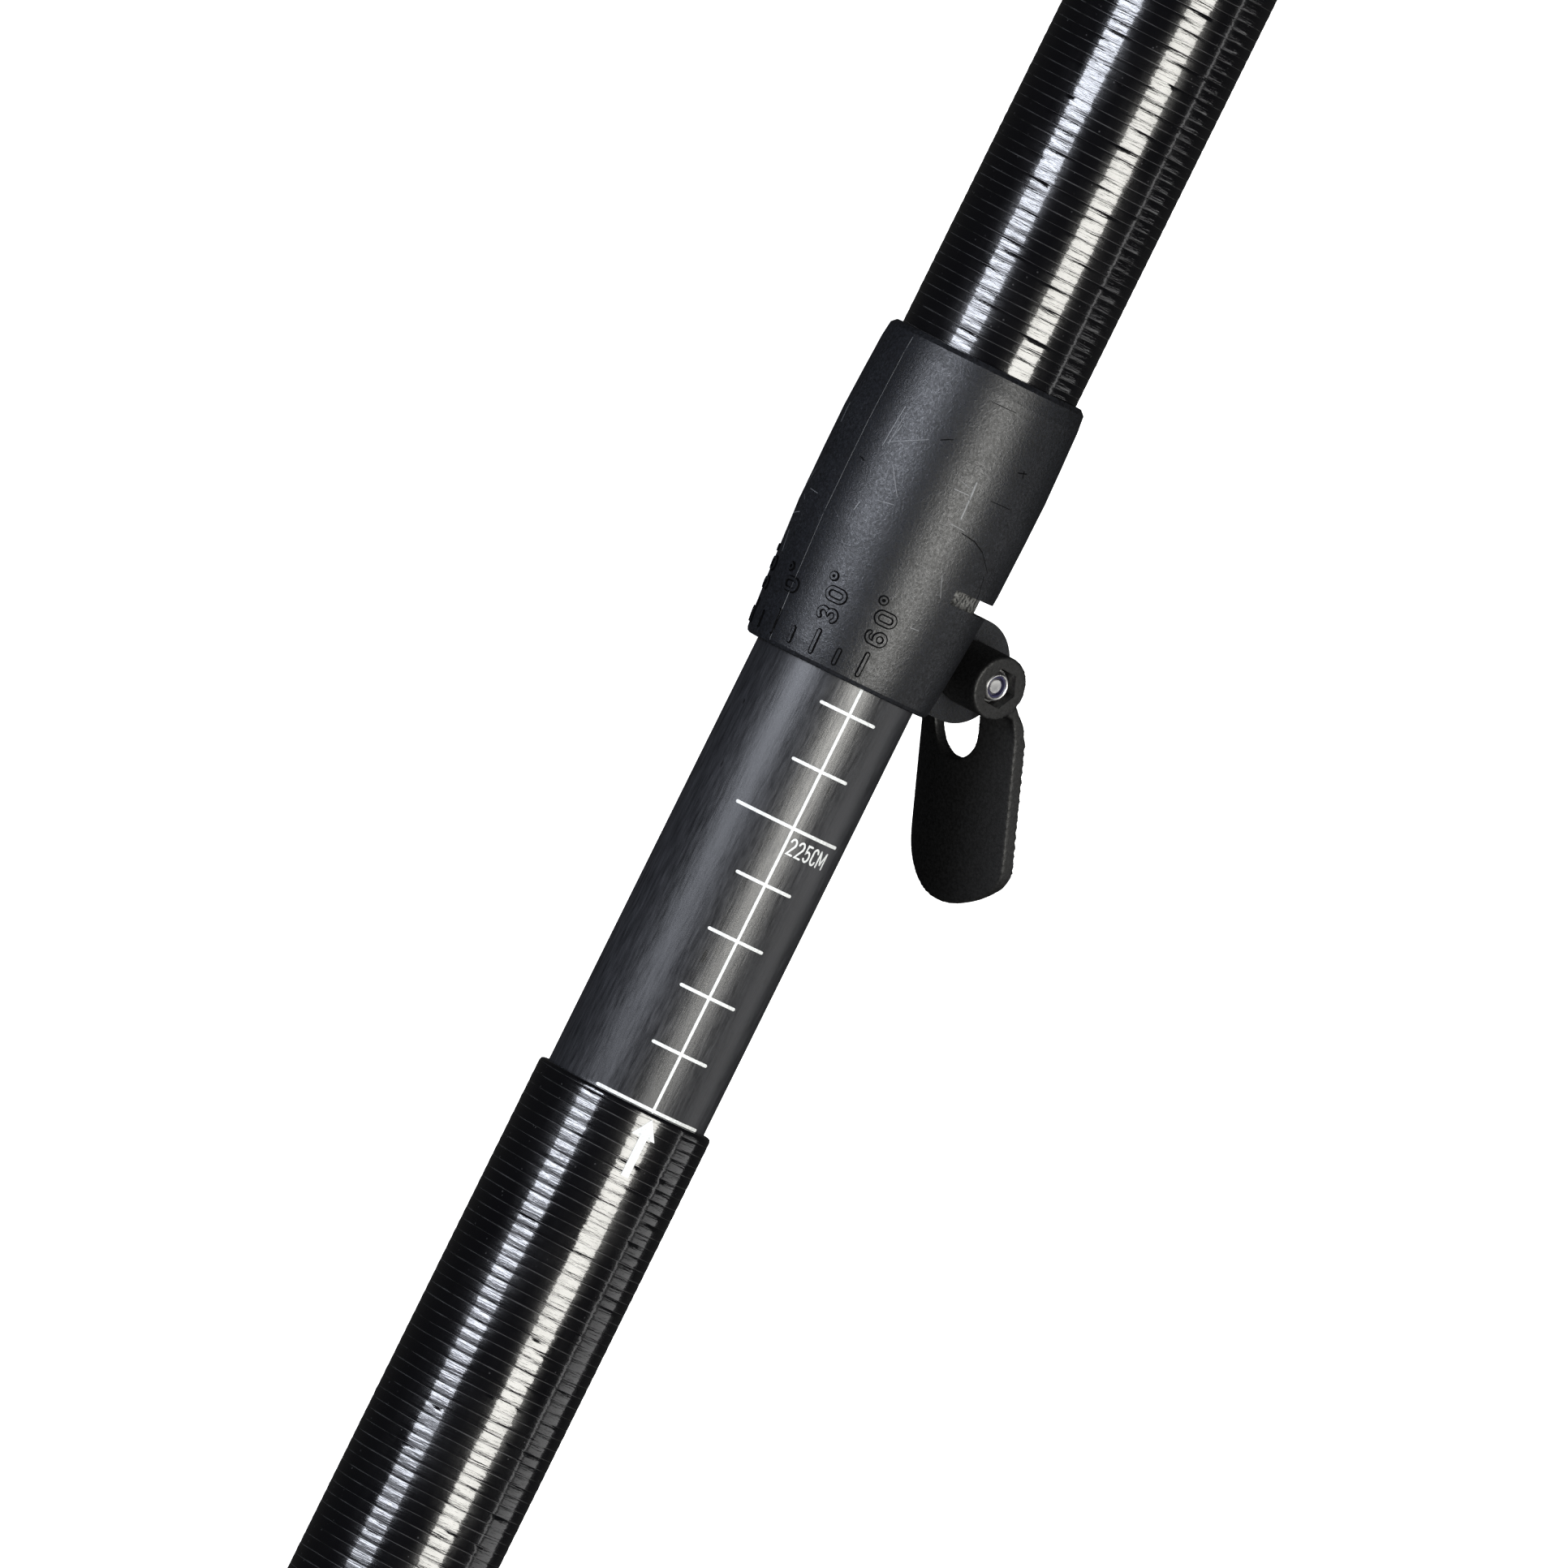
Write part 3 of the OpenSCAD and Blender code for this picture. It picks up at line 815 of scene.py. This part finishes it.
def lever_moulding():
    """The lever with moulded, rounded edges: its CAD shape is filled, remeshed and smoothed,
    and the bolt's hole and both pockets are then cut sharp."""
    body = bpy.data.objects.new("clamp_lever_moulding", nodes["clamp_lever"].data.copy())
    scene.collection.objects.link(body)
    bm = bmesh.new()
    bm.from_mesh(body.data)
    for side in (-1, 1):        # fills each boss, just short of its faces
        rod(bm, BOSS_R, *sorted((side * (BOSS_IN + 0.05), side * (BOSS_OUT - 0.02))))
    bm.to_mesh(body.data)
    bm.clear()
    modify(body, "REMESH", mode="VOXEL", voxel_size=VOXEL * MM)
    modify(body, "SMOOTH", factor=0.5, iterations=7)
    cutter = bpy.data.objects.new("cutter", bpy.data.meshes.new("cutter"))
    scene.collection.objects.link(cutter)
    for radius, low, high, sides in (
            (HOLE_R, -PAST_BOSS, PAST_BOSS, 48), (HEAD_POCKET_R, -PAST_BOSS, HEAD_FLOOR, 48),
            (NUT_POCKET / math.sqrt(3), NUT_FLOOR, PAST_BOSS, 6)):
        rod(bm, radius, low, high, sides)
        bmesh.ops.recalc_face_normals(bm, faces=bm.faces)
        bm.to_mesh(cutter.data)
        bm.clear()
        bpy.context.view_layer.update()
        modify(body, "BOOLEAN", operation="DIFFERENCE", solver="EXACT", object=cutter)
    bm.free()
    bpy.data.objects.remove(cutter)
    body.data.materials.clear()
    body.data.materials.append(LEVER)
    for face in body.data.polygons:
        face.material_index = 0
    scene.collection.objects.unlink(body)
    return dress(body, "lever", "lever_plastic", 40)


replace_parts(lever_moulding(), "clamp_lever")


def lock_nut():
    """Hexagon nut with chamfered corners and a rolled lip round its nylon ring."""
    flat = 2.75         # half its width across flats
    round_r = 2.6       # what is wider than this is cut to the hexagon
    full = 9            # beyond the hexagon's corners
    steps = 96
    # (height, radius), up the outside and down the inside
    profile = ((0, 2.85), (0.25, full), (2.2, full), (2.6, 2.8), (2.62, 2.5), (3.1, 2.5),
               (3.5, 2.44), (3.8, 2.34), (4.0, 2.2), (4.1, 2.05), (4.1, 1.95), (4.04, 1.84),
               (3.9, 1.76), (3.7, 1.72), (2.7, 1.72), (2.7, 1.52), (0.3, 1.52), (0, 1.7))
    rows = []
    for height, r in profile:
        row = []
        for i in range(steps):
            turn = 360 * i / steps
            a = math.radians(turn)
            hexagon = flat / math.cos(math.radians(turn % 60 - 30))
            out = min(r, hexagon) if r > round_r else r
            row.append(LEVER_FRAME @ Vector((out * math.cos(a), out * math.sin(a),
                                             NUT_FLOOR + height)))
        rows.append(row)
    return rows_to_faces(rows)


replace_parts(solid("lock_nut_turned", *lock_nut(), STEEL, "lever", "stainless", 30), "lock_nut")


# ---------------------------------------------------------------- blades

# Places along a blade (x) are shares of its length. w is the place across it and up the
# place above its flat side.
BLADE_L = 480.0
BLADE_W = 175.0
NECK_R = 14.9
NECK = 62 / BLADE_L     # where the round neck ends
FLATTENED = 0.32        # length over which the neck turns into the flat blade
TIP_PART = 0.6          # from here to the tip the rows lie closer and closer
# Both sides of a blade, where w is above 0 and below: (widest place, power of its taper)
FULL_SIDE, SLIM_SIDE = (0.66, 2.3), (0.56, 1.9)
SHEET, SPINE = 1.6, 4.5 # half-thicknesses beside the middle and in it
BEND, CUP = 20, 6       # how far a blade curves up along its length and across its width
SPIGOT_R = 13.7
FIT = 0.988             # keeps the finer outline inside the CAD blade's box


def ease(y):
    """Rises smoothly from 0 to 1."""
    return (1 - math.cos(math.pi * min(max(y, 0), 1))) / 2


def side_w(x, widest, power):
    """Half the width at x, on a side that is widest at a place and tapers by a power."""
    if x <= widest:
        return NECK_R + (BLADE_W / 2 - NECK_R) * ease((x - NECK) / (widest - NECK))
    gone = ((x - widest) / (1 - widest)) ** power
    return max(1.5, BLADE_W / 2 * math.sqrt(max(0, 1 - gone)))


def flatness(x):
    """0 at the round neck, 1 where the blade is flat."""
    return ease((x - NECK) / FLATTENED)


def half_t(x, w, side):
    """Half the thickness: a spine along the middle that thins out towards the tip, a thin
    sheet beside it, and a round edge. At the neck the spine is the whole width."""
    f = flatness(x)
    middle = NECK_R * (1 - f) + SPINE * (1 - 0.45 * x) * f
    spread = 13 + 400 * (1 - f) ** 6
    round_off = max(0, 1 - (w / side) ** 2) ** (0.5 - 0.3 * f)
    return round_off * (SHEET + (middle - SHEET) * math.exp(-(w / spread) ** 2))


def lift(x, w):
    """How far the blade's curve, along it and across it, lifts a point."""
    return BEND * max(0, x - NECK) ** 2 + CUP * flatness(x) * (w / (BLADE_W / 2)) ** 2


def blade(place_point):
    """Lofted blade with its neck and the spigot that goes into the shaft."""
    n = 72
    around = []         # (share of the half-width, which face it is on) round a section
    for k in range(n):
        c = math.cos(2 * math.pi * (k + 0.5) / n)
        around.append((0.35 * c + 0.65 * c ** 3, 1 if k < n / 2 else -1))
    rows = []
    for z, r in ((-50, 13.0), (-49, SPIGOT_R), (0, SPIGOT_R), (0, NECK_R - 0.3),
                 (0.3, NECK_R)):
        rows.append([(r * share, face * math.sqrt(r * r - (r * share) ** 2), z)
                     for share, face in around])
    stations = [NECK * i / 3 for i in range(1, 3)]
    stations += [NECK + (TIP_PART - NECK) * i / 48 for i in range(49)]
    stations += [TIP_PART + (1 - TIP_PART) * math.sin(math.pi / 2 * i / 30)
                 for i in range(1, 31)]
    for x in stations:
        row = []
        for share, face in around:
            side = side_w(x, *(FULL_SIDE if share > 0 else SLIM_SIDE))
            w = FIT * share * side
            row.append((w, lift(x, w) + face * half_t(x, w, side), x * BLADE_L))
        rows.append(row)
    points, faces = rows_to_faces([[place_point(*p) for p in row] for row in rows], closed=False)
    last = (len(rows) - 1) * n
    faces.append(tuple(range(n)))
    faces.append(tuple(last + k for k in range(n)))
    return points, faces


def lower_place(w, up, z):
    """A point of the lower blade, z along it from its shaft's end."""
    return Vector((LOWER_ROOT - z, -w, up)) * MM


def upper_place(w, up, z):
    """A point of the upper blade, turned by the feather."""
    a = math.radians(-FEATHER)
    return Vector((UPPER_ROOT + z, -w * math.cos(a) - up * math.sin(a),
                   -w * math.sin(a) + up * math.cos(a))) * MM


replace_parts(solid("lower_blade_moulding", *blade(lower_place), BLADE, "lower_half",
                  "blade_plastic", 50), "lower_blade")
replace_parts(solid("upper_blade_moulding", *blade(upper_place), BLADE, "upper_half",
                  "blade_plastic", 50), "upper_blade")


# ---------------------------------------------------------------- floor, lights and camera

def floor():
    """A pale floor that touches the lower drip ring and the upper blade's edge."""
    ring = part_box("lower_drip_ring")
    x0, z0 = (ring[0].x + ring[1].x) / 2, ring[0].z
    x1, z1 = 0.95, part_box("upper_blade")[0].z
    slope = (z1 - z0) / (x1 - x0)
    size = 30
    points = [(x, y, z0 + slope * (x - x0)) for x, y in
              ((-size, -size), (size, -size), (size, size), (-size, size))]
    mesh = bpy.data.meshes.new("floor")
    mesh.from_pydata(points, [], [(0, 1, 2, 3)])
    plane = bpy.data.objects.new("floor", mesh)
    scene.collection.objects.link(plane)
    material, _, shader = new_material("pale_floor", (0.9, 0.9, 0.9), 0.9)
    shader.inputs["Specular IOR Level"].default_value = 0
    shader.inputs["Emission Color"].default_value = (1, 1, 1, 1)
    shader.inputs["Emission Strength"].default_value = 0.7
    mesh.materials.append(material)
    plane.visible_glossy = False
    plane.visible_diffuse = False


def strip_light(name, azimuth, spread, radiance, color, ends, beam=180):
    """A soft box beside the shaft, between two places along it, in metres. azimuth is from
    the camera's side, to the right, spread is its width in degrees as the shaft sees it, and
    beam is the angle it shines over."""
    distance = 1.3
    turn = math.radians(VIEW_TURN + azimuth)
    out = Vector((0, math.cos(turn), math.sin(turn)))
    data = bpy.data.lights.new(name, "AREA")
    data.shape = "RECTANGLE"
    data.size = 2 * distance * math.tan(math.radians(spread / 2))
    data.size_y = ends[1] - ends[0]
    data.energy = radiance * math.pi * data.size * data.size_y
    data.color = color
    data.spread = math.radians(beam)
    lamp = bpy.data.objects.new(name, data)
    scene.collection.objects.link(lamp)
    across = Vector((1, 0, 0)).cross(out)
    lamp.matrix_world = Matrix((across, (1, 0, 0), out)).transposed().to_4x4()
    lamp.location = out * distance + Vector((sum(ends) / 2, 0, 0))


def world():
    """White beyond the floor, dim light from all round, and a dark room in reflections."""
    made = bpy.data.worlds.new("studio")
    scene.world = made
    made.use_nodes = True
    tree = made.node_tree
    tree.nodes.clear()
    path = tree.nodes.new("ShaderNodeLightPath")
    output = tree.nodes.new("ShaderNodeOutputWorld")
    white = add(tree, "ShaderNodeBackground", Color=(1, 1, 1, 1), Strength=1.0)
    fill = add(tree, "ShaderNodeBackground", Color=(0.93, 0.96, 1, 1), Strength=0.24)
    dark = add(tree, "ShaderNodeBackground", Color=(1, 1, 1, 1), Strength=0.02)
    seen = tree.nodes.new("ShaderNodeMixShader")
    mirrored = tree.nodes.new("ShaderNodeMixShader")
    tree.links.new(path.outputs["Is Glossy Ray"], mirrored.inputs[0])
    tree.links.new(fill.outputs[0], mirrored.inputs[1])
    tree.links.new(dark.outputs[0], mirrored.inputs[2])
    tree.links.new(path.outputs["Is Camera Ray"], seen.inputs[0])
    tree.links.new(mirrored.outputs[0], seen.inputs[1])
    tree.links.new(white.outputs[0], seen.inputs[2])
    tree.links.new(seen.outputs[0], output.inputs["Surface"])


def camera():
    """A long lens that faces the scale and the marks, with the shaft rising to the right."""
    rise = math.radians(63.65)      # of the shaft in the picture
    turn = math.radians(VIEW_TURN)
    lean = math.radians(1.2)        # of the camera towards the upper half
    distance = 6.0
    sensor, covered = 36, 0.249     # widths of the sensor in mm and of the view in metres
    middle, beside = 0.0558, 0.00036    # what the view centres on, along the shaft and off it
    shaft = Vector((1, 0, 0))
    facing = Vector((0, math.cos(turn), math.sin(turn)))
    back = math.cos(lean) * facing + math.sin(lean) * shaft
    up_shaft = math.cos(lean) * shaft - math.sin(lean) * facing
    right = up_shaft.cross(back)
    across = math.cos(rise) * up_shaft + math.sin(rise) * right
    up = math.sin(rise) * up_shaft - math.cos(rise) * right
    data = bpy.data.cameras.new("camera")
    data.sensor_width = sensor
    data.lens = sensor * distance / covered
    data.clip_end = 300
    eye = bpy.data.objects.new("camera", data)
    scene.collection.objects.link(eye)
    target = shaft * middle + right * beside
    eye.matrix_world = Matrix((across, up, back)).transposed().to_4x4()
    eye.location = target + back * distance
    scene.camera = eye


scene.view_settings.view_transform = "Standard"
floor()
world()
camera()
COOL, WARM, PLAIN = (0.86, 0.9, 1.0), (1.0, 0.985, 0.93), (1.0, 1.0, 1.0)
# Lights: name, azimuth, spread, radiance, colour and ends. The cool strip is dimmer beside
# the lower shaft, as its reflection there is.
strip_light("cool_strip_low", -41.5, 27, 2.7, COOL, (-0.3, 0.025))
strip_light("cool_strip_high", -41.5, 27, 16.5, COOL, (0.025, 0.36))
strip_light("warm_strip", 37.5, 28, 11.5, WARM, (-0.3, 0.36))
strip_light("side_edge", 87.5, 3, 1.6, PLAIN, (-0.36, 0.4))
strip_light("side_card", 107, 29, 0.8, PLAIN, (-0.36, 0.01))
# The lower blade is lit from one side and the upper one from two: (end, azimuth)
for end, azimuth in ((-1, 10), (1, -40), (1, 90)):
    strip_light("blade_light", azimuth, 30, 5.0, PLAIN, sorted((0.75 * end, 1.15 * end)), 50)
